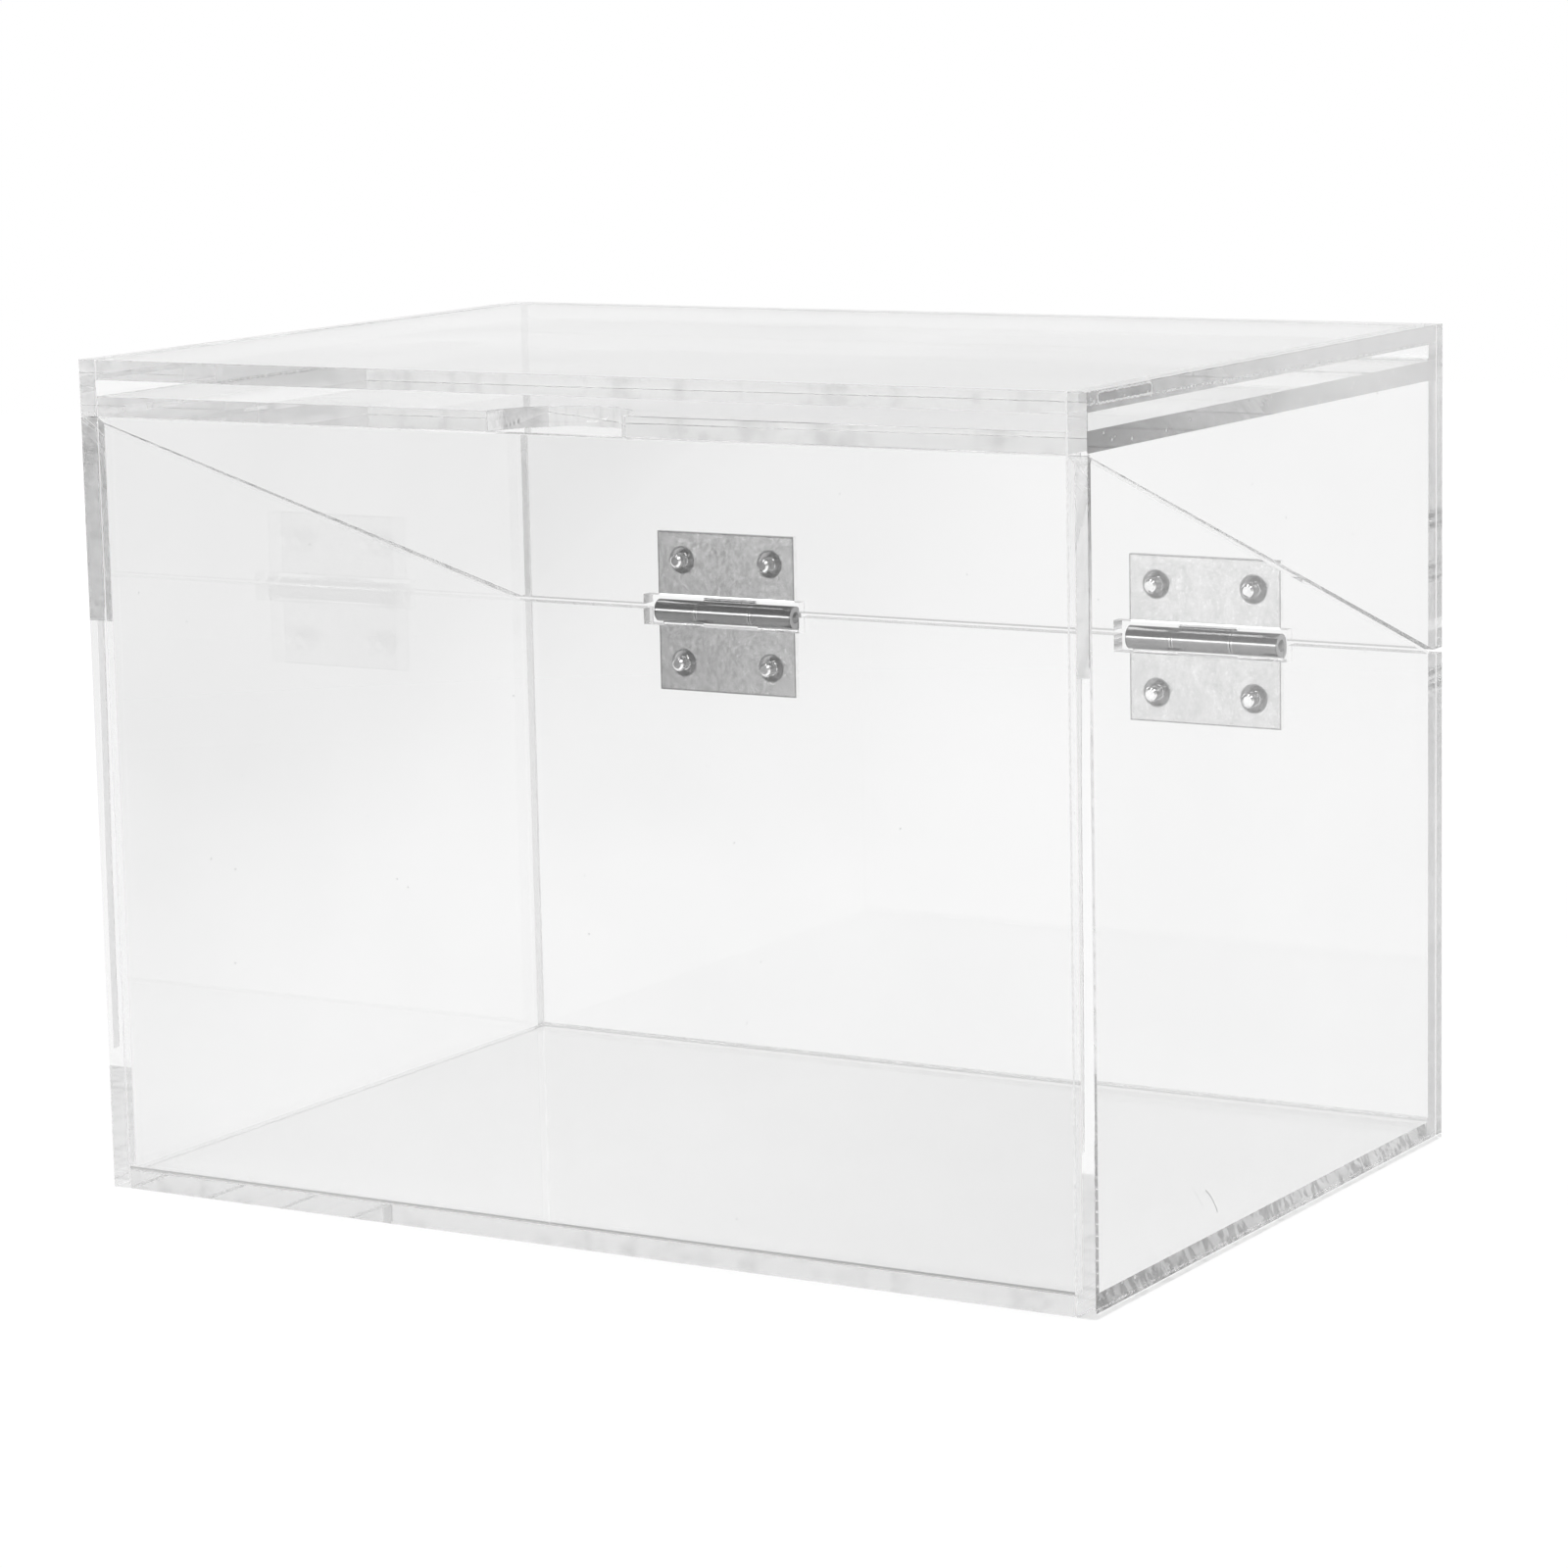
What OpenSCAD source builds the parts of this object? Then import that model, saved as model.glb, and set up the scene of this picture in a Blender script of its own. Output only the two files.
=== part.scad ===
// Clear acrylic desk box with a hinged lid. The lid is cut off along a slanted line,
// carries a card slot under its top sheet, and swings back on two small steel hinges.
// X runs across the box, Y from front to back, Z up. The origin is the centre of the
// underside of the acrylic.

/* [Box] */
// Outer width, over the two side panels
box_w = 180; // [140:1:240]
// Outer depth, front face to back face
box_d = 125; // [90:1:200]
// Outer height
box_h = 135; // [110:1:200]
// Thickness of the acrylic sheet
sheet_t = 3.2; // [2.5:0.1:5]

/* [Lid] */
// Height of the lid at the back, from the hinge pins up to the top face
lid_back_h = 54; // [40:1:75]
// Gap between the lid and the base at the front
front_gap = 0.2; // [0.1:0.1:0.8]
// Gap between the lid and the base along the back
back_gap = 0.8; // [0.4:0.1:1.5]
// Height of the base's back edge above the hinge pins
split_rise = 0.4; // [0.3:0.1:1]

/* [Card slot] */
// Clear height of the slot between the top panel and the card shelf
slot_gap = 2.6; // [1.5:0.1:6]
// Depth of the strip that closes the slot at the back
spacer_d = 3.2; // [2:0.1:10]
// Radius of the half-moon thumb notch in the card shelf
notch_r = 12; // [8:0.5:20]

/* [Hinges] */
// Distance from each side of the box to the middle of its hinge
hinge_inset = 44.5; // [20:0.5:54]
// Width of a hinge
hinge_w = 28; // [20:0.5:36]
// Height of one leaf, from the pin axis to its edge
leaf_h = 14.2; // [12:0.1:20]
// Thickness of the leaf sheet
leaf_t = 1; // [0.6:0.1:1.2]
// Diameter of the hinge pin
pin_d = 1.9; // [1.4:0.1:2.4]
// Running clearance around the pin, on the radius
pin_clear = 0.05; // [0.03:0.01:0.1]
// Length of the middle knuckle
mid_knuckle_w = 10.8; // [8:0.1:14]
// Gap between two knuckles, endways
knuckle_gap = 0.2; // [0.05:0.05:0.3]
// Gap between a leaf's edge and the other leaf's knuckle
leaf_gap = 0.6; // [0.4:0.1:0.8]
// Slit between the rolled end of a knuckle and its leaf
seam_gap = 0.2; // [0.1:0.05:0.3]
// How far each end of the pin stands out of the outer knuckles
pin_end = 0.3; // [0.2:0.1:0.6]

/* [Hinge cut-outs] */
// Gap beside the hinge in the back panels' cut-outs
cut_side = 2; // [1:0.1:4]
// Height of the lid's cut-out above the pin axis
cut_up = 3; // [2.8:0.1:5]
// Depth of the base's cut-out below the pin axis
cut_down = 2.4; // [2.4:0.1:4]

/* [Screws] */
// Distance between the two screws of a leaf
screw_span = 18; // [14:0.5:20]
// Height of the screws from the pin axis
screw_rise = 9.2; // [8:0.1:9.8]
// Diameter of the screw shank
screw_d = 2.2; // [1.6:0.1:2.4]
// Diameter of the screw head
head_d = 4; // [3.4:0.1:4.6]
// Height of the screw head
head_h = 1.3; // [0.9:0.1:2]
// Clearance around the shank, on the radius
screw_clear = 0.1; // [0.05:0.05:0.2]
// How far the tip stands out of the back panel's inner face
tip_out = 0.5; // [0.2:0.1:1]
// Width of the countersink on the leaf's face
sink_d = 4.7; // [3.6:0.1:5]
// Depth of the countersink
sink_depth = 0.7; // [0.4:0.1:0.9]

/* [Hidden] */

// Round faces, large and small
$fn = 64;
// Overrun of every cut, so that it leaves no skin
over = 1;

// Acrylic, measured from the middle of the underside
inner_w = box_w - 2 * sheet_t;
front_y = -box_d / 2;
back_y = box_d / 2;
back_inner_y = back_y - sheet_t;

// Lid stack, from the top down
top_z = box_h - sheet_t;
shelf_z = top_z - slot_gap - sheet_t;

// Split between the lid and the base
pin_z = box_h - lid_back_h;
base_back_z = pin_z + split_rise;
lid_back_z = base_back_z + back_gap;
base_front_z = shelf_z - front_gap;

// Rolled knuckles: the leaf's inner face lies on the back panel and touches the bore
bore_r = pin_d / 2 + pin_clear;
knuckle_r = bore_r + leaf_t;
pin_y = back_y - bore_r;
leaf_edge = knuckle_r + leaf_gap;
side_knuckle_w = (hinge_w - mid_knuckle_w) / 2 - knuckle_gap;
hinge_x = box_w / 2 - hinge_inset;
cut_w = hinge_w + 2 * cut_side;

// Shares of the screw's own sizes
dome_share = 0.55;
recess_w_share = 0.14;
recess_span_share = 0.62;
recess_depth_share = 0.5;
tip_chamfer_share = 0.15;
pin_chamfer_share = 0.2;

acrylic = [0.88, 0.91, 0.92, 0.45];
steel = [0.72, 0.73, 0.74];

// A plate of acrylic from its least corner and its size
module plate(corner, size) {
    color(acrylic) translate(corner) cube(size);
}

// A side sheet: an outline of [y, z] points, given the thickness of the sheet in X.
// side is -1 for the left panel and 1 for the right one.
module side_sheet(side, outline) {
    x = side < 0 ? -box_w / 2 : box_w / 2 - sheet_t;
    color(acrylic) translate([x, 0, 0]) rotate([90, 0, 90]) linear_extrude(sheet_t) polygon(outline);
}

// Draws its children at both hinges
module at_hinges() {
    for (side = [-1, 1]) translate([side * hinge_x, pin_y, pin_z]) children();
}

// Draws its children at one hinge, with the pin axis along X through the origin
module at_hinge(side) {
    translate([side * hinge_x, pin_y, pin_z]) children();
}

// Draws its children at the two screws of a leaf, axis along Y, on the leaf's inner face.
// up is 1 for the upper leaf and -1 for the lower one.
module at_screws(up) {
    for (x = [-screw_span / 2, screw_span / 2]) {
        translate([x, bore_r, up * screw_rise]) rotate([-90, 0, 0]) children();
    }
}

// What the hinges take out of a back panel: the cut-out round the knuckles and the screw holes
module hinge_cuts(up, reach) {
    at_hinges() {
        z = up > 0 ? -knuckle_r : -reach;
        translate([-cut_w / 2, bore_r - sheet_t - over, z]) cube([cut_w, sheet_t + 2 * over, reach + knuckle_r]);
        at_screws(up) {
            translate([0, 0, -sheet_t - over]) cylinder(h = sheet_t + 2 * over, r = screw_d / 2 + screw_clear);
        }
    }
}

// Section of a leaf in [y, z]: the sheet rolled once round the bore, with the slit where its
// end meets the leaf again. up is 1 for the upper leaf and -1 for the lower one.
module rolled_section(up) {
    mirror([0, up > 0 ? 0 : 1]) difference() {
        union() {
            circle(r = knuckle_r);
            translate([bore_r, 0]) square([leaf_t, leaf_edge + over]);
        }
        circle(r = bore_r);
        translate([bore_r - seam_gap, 0]) square([seam_gap, knuckle_r + over]);
    }
}

// One knuckle from x to x + w, joined to its leaf
module knuckle(up, x, w) {
    translate([x, 0, 0]) rotate([90, 0, 90]) linear_extrude(w) rolled_section(up);
}

// Flat of a leaf with its two countersunk holes
module leaf_flat(up) {
    z = up > 0 ? leaf_edge : -leaf_h;
    difference() {
        translate([-hinge_w / 2, bore_r, z]) cube([hinge_w, leaf_t, leaf_h - leaf_edge]);
        at_screws(up) {
            translate([0, 0, -over]) cylinder(h = leaf_t + 2 * over, r = screw_d / 2 + screw_clear);
            countersink();
        }
    }
}

// Cone of the countersink, widened by the overrun so that it opens cleanly on the face
module countersink() {
    hole_r = screw_d / 2 + screw_clear;
    slope = (sink_d / 2 - hole_r) / sink_depth;
    translate([0, 0, -over]) {
        cylinder(h = sink_depth + over, r1 = sink_d / 2 + slope * over, r2 = hole_r);
    }
}

// Lower leaf: the flat with the two outer knuckles
module lower_leaf(side) {
    color(steel) at_hinge(side) {
        leaf_flat(-1);
        knuckle(-1, -hinge_w / 2, side_knuckle_w);
        knuckle(-1, hinge_w / 2 - side_knuckle_w, side_knuckle_w);
    }
}

// Upper leaf: the flat with the middle knuckle
module upper_leaf(side) {
    color(steel) at_hinge(side) {
        leaf_flat(1);
        knuckle(1, -mid_knuckle_w / 2, mid_knuckle_w);
    }
}

// Hinge pin with chamfered ends, held by the outer knuckles
module hinge_pin(side) {
    pin_r = pin_d / 2;
    chamfer = pin_d * pin_chamfer_share;
    half = hinge_w / 2 + pin_end;
    color(steel) at_hinge(side) rotate([0, 90, 0]) {
        translate([0, 0, -half + chamfer]) cylinder(h = 2 * half - 2 * chamfer, r = pin_r);
        translate([0, 0, half - chamfer]) cylinder(h = chamfer, r1 = pin_r, r2 = pin_r - chamfer);
        translate([0, 0, -half]) cylinder(h = chamfer, r1 = pin_r - chamfer, r2 = pin_r);
    }
}

// Pan-head screw along Z, its leaf's inner face at the origin and its head above
module screw() {
    shank_r = screw_d / 2;
    chamfer = screw_d * tip_chamfer_share;
    rise = head_h * dome_share;
    dome_r = (pow(head_d / 2, 2) + pow(rise, 2)) / (2 * rise);
    recess_h = head_h * recess_depth_share;
    recess_span = head_d * recess_span_share;
    recess_w = head_d * recess_w_share;
    difference() {
        translate([0, 0, leaf_t]) intersection() {
            cylinder(h = head_h, d = head_d);
            translate([0, 0, head_h - dome_r]) sphere(r = dome_r);
        }
        for (turn = [0, 90]) rotate([0, 0, turn]) {
            translate([-recess_span / 2, -recess_w / 2, leaf_t + head_h - recess_h]) {
                cube([recess_span, recess_w, head_h]);
            }
        }
    }
    translate([0, 0, -sheet_t - tip_out + chamfer]) {
        cylinder(h = leaf_t + sheet_t + tip_out - chamfer, r = shank_r);
    }
    translate([0, 0, -sheet_t - tip_out]) cylinder(h = chamfer, r1 = shank_r - chamfer, r2 = shank_r);
}

module leaf_screws(side, up) {
    color(steel) at_hinge(side) at_screws(up) screw();
}

// Base tray
module floor_panel() {
    plate([-inner_w / 2, front_y, 0], [inner_w, box_d, sheet_t]);
}

module front_panel() {
    plate([-inner_w / 2, front_y, sheet_t], [inner_w, sheet_t, base_front_z - sheet_t]);
}

module base_back_panel() {
    difference() {
        plate([-inner_w / 2, back_inner_y, sheet_t], [inner_w, sheet_t, base_back_z - sheet_t]);
        hinge_cuts(-1, cut_down);
    }
}

module base_side(side) {
    side_sheet(side, [
        [front_y, 0], [back_y, 0], [back_y, base_back_z],
        [back_inner_y, base_back_z], [front_y, base_front_z]
    ]);
}

// Lid
module top_panel() {
    plate([-inner_w / 2, front_y, top_z], [inner_w, box_d, sheet_t]);
}

module card_shelf() {
    difference() {
        plate([-inner_w / 2, front_y, shelf_z], [inner_w, box_d, sheet_t]);
        translate([0, front_y, shelf_z - over]) cylinder(h = sheet_t + 2 * over, r = notch_r);
    }
}

module slot_spacer() {
    plate([-inner_w / 2, back_y - spacer_d, shelf_z + sheet_t], [inner_w, spacer_d, slot_gap]);
}

module lid_back_panel() {
    difference() {
        plate([-inner_w / 2, back_inner_y, lid_back_z], [inner_w, sheet_t, shelf_z - lid_back_z]);
        hinge_cuts(1, cut_up);
    }
}

module lid_side(side) {
    side_sheet(side, [
        [front_y, shelf_z], [back_inner_y, lid_back_z], [back_y, lid_back_z],
        [back_y, box_h], [front_y, box_h]
    ]);
}

floor_panel();
front_panel();
base_back_panel();
base_side(-1);  // base_left_panel
base_side(1);  // base_right_panel
lower_leaf(-1);  // left_hinge_lower_leaf
lower_leaf(1);  // right_hinge_lower_leaf
hinge_pin(-1);  // left_hinge_pin
hinge_pin(1);  // right_hinge_pin
leaf_screws(-1, -1);  // left_hinge_lower_screws
leaf_screws(1, -1);  // right_hinge_lower_screws
top_panel();
card_shelf();
slot_spacer();
lid_back_panel();
lid_side(-1);  // lid_left_panel
lid_side(1);  // lid_right_panel
upper_leaf(-1);  // left_hinge_upper_leaf
upper_leaf(1);  // right_hinge_upper_leaf
leaf_screws(-1, 1);  // left_hinge_upper_screws
leaf_screws(1, 1);  // right_hinge_upper_screws
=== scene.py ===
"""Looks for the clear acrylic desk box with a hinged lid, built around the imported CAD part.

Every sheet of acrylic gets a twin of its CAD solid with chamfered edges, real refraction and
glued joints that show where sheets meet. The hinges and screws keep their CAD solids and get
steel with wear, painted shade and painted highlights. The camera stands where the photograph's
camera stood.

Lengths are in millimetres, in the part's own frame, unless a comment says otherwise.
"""

import math

import bmesh
import bpy
from mathutils import Matrix, Vector


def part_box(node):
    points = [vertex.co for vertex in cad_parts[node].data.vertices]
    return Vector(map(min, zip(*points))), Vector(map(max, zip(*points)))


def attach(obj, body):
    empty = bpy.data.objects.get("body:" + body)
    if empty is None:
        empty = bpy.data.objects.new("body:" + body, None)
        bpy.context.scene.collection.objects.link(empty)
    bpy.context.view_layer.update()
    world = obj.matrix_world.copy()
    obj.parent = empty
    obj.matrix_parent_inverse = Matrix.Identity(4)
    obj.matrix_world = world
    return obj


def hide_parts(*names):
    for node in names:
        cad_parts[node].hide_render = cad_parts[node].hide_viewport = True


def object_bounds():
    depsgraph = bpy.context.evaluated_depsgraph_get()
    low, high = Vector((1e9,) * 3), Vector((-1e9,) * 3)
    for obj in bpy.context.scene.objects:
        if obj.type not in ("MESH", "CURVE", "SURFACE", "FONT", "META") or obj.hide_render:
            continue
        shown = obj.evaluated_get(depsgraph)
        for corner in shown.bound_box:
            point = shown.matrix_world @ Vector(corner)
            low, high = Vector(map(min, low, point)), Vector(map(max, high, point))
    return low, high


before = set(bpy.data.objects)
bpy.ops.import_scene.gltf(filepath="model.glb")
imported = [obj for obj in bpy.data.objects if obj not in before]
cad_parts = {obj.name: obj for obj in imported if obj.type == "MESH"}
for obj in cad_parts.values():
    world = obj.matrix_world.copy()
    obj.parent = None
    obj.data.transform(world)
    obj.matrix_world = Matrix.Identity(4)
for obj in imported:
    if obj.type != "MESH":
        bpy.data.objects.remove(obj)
cad_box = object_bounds()

MM = 0.001


def corners(node):
    """The lowest and highest corner of a node at rest, in millimetres to three decimals."""
    return [[round(value / MM, 3) for value in corner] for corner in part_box(node)]


def middle(node):
    """The middle of a node's box at rest, in millimetres."""
    return [(low + high) / 2 for low, high in zip(*corners(node))]


# Outer faces of the sides, the back panels and the top
SIDE_FACE = corners("base_right_panel")[1][0]
BACK_FACE = corners("base_back_panel")[1][1]
TOP_FACE = corners("top_panel")[1][2]
# The cut between base and lid crosses the back between these heights
CUT_LOW, CUT_HIGH = 75.0, 90.0

# Camera, measured from the photograph. Angles are in degrees, the clipping in metres.
CAM_AZIMUTH = 30.918
CAM_ELEVATION = 9.631
CAM_ROLL = -1.185
CAM_DISTANCE = 820.8
CAM_AIM_RIGHT = 1.33
CAM_AIM_UP = -4.42
CAM_LENS = 116.0
CAM_SENSOR = 36.0
CAM_NEAR, CAM_FAR = 0.01, 50.0
BOX_CENTRE = (0.0, 0.0, TOP_FACE / 2)

# The studio is dark to the left of a line that runs forwards at this azimuth. On the paper that
# dark is painted shade, which ends between the first pair, measured where the line crosses Y = 0,
# and from front to back between the second pair.
DARK_AZIMUTH = math.radians(26.7)
DARK_ASIDE = (-125.0, -25.0)
DARK_AHEAD = (-200.0, 0.0)

# The paper that the box stands on. Its radius is in metres. It whitens between SHADOW_END and
# PAPER_WHITE, measured from the middle of the box.
FLOOR_RADIUS = 1.4
FLOOR_SIDES = 96
FLOOR_DROP = 0.1
SHADOW_END, PAPER_WHITE = 300.0, 560.0
PAPER_GREY = (0.78, 0.8)
# Near the box, this share of the paper's look glows, and the rest takes the shadow
GLOW_SHARE = 0.84
# What is left of the paper's glow in the painted shade at the front left
PAPER_DARK = 0.2
# Light added to the paper's glow: painted light under the box from left to right, beside and
# behind it and in front of it, less far from it, and more where the camera sees it
LIFT_LEFT, LIFT_RIGHT = 0.32, 0.17
LIFT_AROUND, LIFT_FRONT, LIFT_FAR, LIFT_CAMERA = 0.03, 0.14, -0.04, 0.07
# Where that light changes: along X under the box, along Y in front of it, and how far from the
# faces of the left side and the back
UNDER_BLEND = (-20.0, 70.0)
FRONT_BLEND = (-90.0, -60.0)
SIDE_BLEND, BACK_BLEND = 1.0, 1.5
# Painted light added to the paper's front where it is seen in reflections, and where it ends along
# Y
SHINE_LIFT = 0.2
SHINE_BLEND = (-300.0, -150.0)

# The room's light at the front left and the front right, and what is left of it above the
# box and overhead
ROOM_DARK, ROOM_FRONT = 0.3, 0.8
ROOM_ABOVE, ROOM_OVERHEAD = 0.55, 0.6
# Parts of a direction between which the room changes: Y to behind the box, across the dark
# edge, and Z to above the box and to overhead
TO_BEHIND, ACROSS_EDGE = (-0.3, 0.2), (-0.06, 0.06)
TO_ABOVE, TO_OVERHEAD = (0.04, 0.16), (0.3, 0.55)

# How often light may bounce: in and between the clear sheets, off dull surfaces, and straight
# through glued faces
CLEAR_BOUNCES = 48
SURFACE_BOUNCES = 4
THROUGH_BOUNCES = 64

# The middle of the right hinge, on the axis of the pins. The left hinge mirrors it.
HINGE_X, PIN_Y, PIN_Z = middle("right_hinge_pin")
# How wide a leaf is, and how far it reaches from the axis
LEAF_LOW, LEAF_HIGH = corners("right_hinge_upper_leaf")
LEAF_WIDTH = LEAF_HIGH[0] - LEAF_LOW[0]
LEAF_REACH = LEAF_HIGH[2] - PIN_Z
# The barrel ends and the leaf's flat begins between these distances from the axis
BARREL_IN, BARREL_OUT = 2.1, 2.6
# Where two knuckles meet, from the middle of the hinge
KNUCKLE_END = 5.5
# Screws, from the middle of the hinge, and the radius of their countersinks
SCREW_ASIDE = 9.0
SCREW_RISE = middle("right_hinge_upper_screws")[2] - PIN_Z
SINK_RADIUS = 2.35
# What the painted light and shade on a leaf do to its brightness
FLANK_LIGHT = 0.2
BARREL_SHADE = 0.45
BARREL_UNDER = 0.62
BARREL_END_HIGHLIGHT = 1.9
SINK_SHADE = 0.62
OUTLINE_SHADE = 0.5
# How far that painted light and shade fades: from the knuckles' ends, from the rims of the
# countersinks and inside the leaf's outline. The rest are parts of a face's normal: Z under the
# barrel, and Y where a countersink's cone starts and ends.
END_HIGHLIGHT_BLEND = (0.25, 0.4)
SINK_BLEND = (0.12, 0.25)
OUTLINE_BLEND = (-0.3, -0.2)
UNDER_NORMAL = (-0.2, 0.05)
CONE_START, CONE_END = (0.5, 0.6), (0.93, 0.97)

# Sheets
CHAMFER = 0.08
SEAM = 0.25
GLUE_FILM = 0.02
# Two planes are one within SAME_PLANE, and sheets touch within TOUCH. A face is at a joint
# within AT_JOINT, and on the outside within AT_OUTSIDE. A point of a box's end may lie
# END_ROOM off the end, and RIM_ROOM past its rim.
SAME_PLANE = 0.005
TOUCH = 0.01
AT_JOINT = 0.05
AT_OUTSIDE = 0.1
END_ROOM = 0.1
RIM_ROOM = 0.001
LEAST_OVERLAP = 1.0
# A groove's face has its middle this near the joint, as a share of SEAM
SEAM_SHARE = 0.6
# In metres, for the mesh tools
MERGE_DISTANCE = 1e-6
SPLIT_DISTANCE = 1e-7
# Parts of a face's unit normal: along an axis, on a chamfer, and along Y on the slanted cut
ALIGNED = 0.99
TILTED = 0.8
SLANT_LOW, SLANT_HIGH = 0.3, 0.4
FLAT_ANGLE = math.radians(0.5)
SHARP_ANGLE = math.radians(25)
# Faces smaller than this, in square metres, are shaded smooth
FLAT_AREA = 8e-6
FACE, EDGE, WELD, GLUE, SAWN, SAWN_LEFT, SEAM_FILL, RAW = range(8)

# Acrylic. The colours and the names with KEEPS say what a crossing keeps of the light: PLASTIC
# is for bent light, CLEAR for the lamps' light, and the pairs are for the cloudiest and the
# clearest places.
ACRYLIC_IOR = 1.49
PLASTIC = (0.97, 0.97, 0.97, 1)
CLEAR = (0.955, 0.955, 0.955, 1)
FACE_KEEPS = (0.955, 0.97)
EDGE_KEEPS = (0.97, 0.985)
WELD_KEEPS = (0.98, 1.0)
CLOUD_KEEPS = (0.9, 1.0)
STROKE_KEEPS = (0.84, 1.04)
SPECK_KEEPS = 0.72
VOID_KEEPS = 0.82
# White of the saw's arcs, which is painted light coming through them, of the bead in a seam and of
# the haze in the glue
ARC_WHITE = (0.97, 0.97, 0.97, 1)
SEAM_WHITE = (0.92, 0.92, 0.92, 1)
GLUE_WHITE = (0.98, 0.98, 0.98, 1)
# Joints are seen steeply up to the first of these, and along their face from the second on
STEEP_END, ALONG_START = 0.45, 0.55
# Heights that part the sides' feet from what is above them, and the floor panel's raw end from
# the higher ones, and how bright the feet are beside the others
FOOT_BLEND = (0.02, 0.06)
FLOOR_END_BLEND = (4.0, 5.0)
FOOT_SHADE = 0.95
# The scratch on the right side is an arc. Its ends are angles from the horizontal.
HAIR_Y, HAIR_Z, HAIR_RADIUS = -33.6, 0.4, 13.0
HAIR_FOOT, HAIR_TOP = math.radians(30), math.radians(56)
HAIR_CORE, HAIR_RIM = 0.1, 0.2
HAIR_SHADE = 0.45
# The saw's arcs: their distance along Y, how far one runs along Y for each step across, and
# their half width as a share of the distance
SAW_STEP = 22.0
SAW_SLANT = 5.0
SAW_CORE, SAW_RIM = 0.03, 0.05
# Glued ends below FLOOR_LEVEL are the floor panel's, and those above LID_LEVEL are the lid's:
# the shelf's end at SLOT_LEVEL, and the top panel's start at TOP_LEVEL. The first two looks
# blend over FLOOR_BLEND and LID_BLEND.
FLOOR_LEVEL, FLOOR_BLEND = 3.5, 0.5
LID_LEVEL, LID_BLEND = 100.0, 20.0
SLOT_LEVEL, TOP_LEVEL = 130.0, 131.5
# From the left joints' look to the right joints', along X
RIGHT_BLEND = (-80.0, 80.0)
# Bubbles thin out toward the back between these, along Y
BUBBLE_BLEND = (-40.0, -20.0)
# The glue at the right is dark at the front, and clears toward the back. How dark it is at the
# floor, the shelf and the top panel, and in the slashes.
DARK_FRONT, DARK_BACK = -62.0, 20.0
FLOOR_DARK, SHELF_DARK, TOP_DARK = 0.45, 0.6, 0.42
SLASH_DARK = 0.35
# The lid's glue is hazy toward the back. How hazy it is at the shelf, the top panel and behind
HAZE_FRONT, HAZE_BACK = -40.0, 60.0
SHELF_HAZE, TOP_HAZE, BACK_HAZE = 0.5, 0.8, 0.45
# Where the glue of the outer joints starts, along X, and that of the back, along Y
OUTER_BLEND = (SIDE_FACE - 4.0, SIDE_FACE - 3.5)
BEHIND_BLEND = (58.0, 59.0)
# The air pocket in the top panel's right joint
VOID_Y, VOID_LENGTH = -48.3, 17.0
VOID_Z, VOID_HEIGHT = 133.65, 1.6
VOID_ROUND = 0.6
# Dashed lines along the right joints: height at Y = 0, and rise for each step along Y
DASHED_LINES = ((132.45, -0.0075), (0.75, 0.0))
LINE_CORE, LINE_RIM = 0.1, 0.16

SHEETS = {
    "base": (
        "floor_panel", "front_panel", "base_back_panel", "base_left_panel", "base_right_panel",
    ),
    "lid": (
        "top_panel", "card_shelf", "slot_spacer", "lid_back_panel", "lid_left_panel",
        "lid_right_panel",
    ),
}
LEAVES = (
    "left_hinge_lower_leaf", "right_hinge_lower_leaf",
    "left_hinge_upper_leaf", "right_hinge_upper_leaf",
)
PINS = ("left_hinge_pin", "right_hinge_pin")
SCREWS = (
    "left_hinge_lower_screws", "right_hinge_lower_screws",
    "left_hinge_upper_screws", "right_hinge_upper_screws",
)


# Shader helpers


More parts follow.
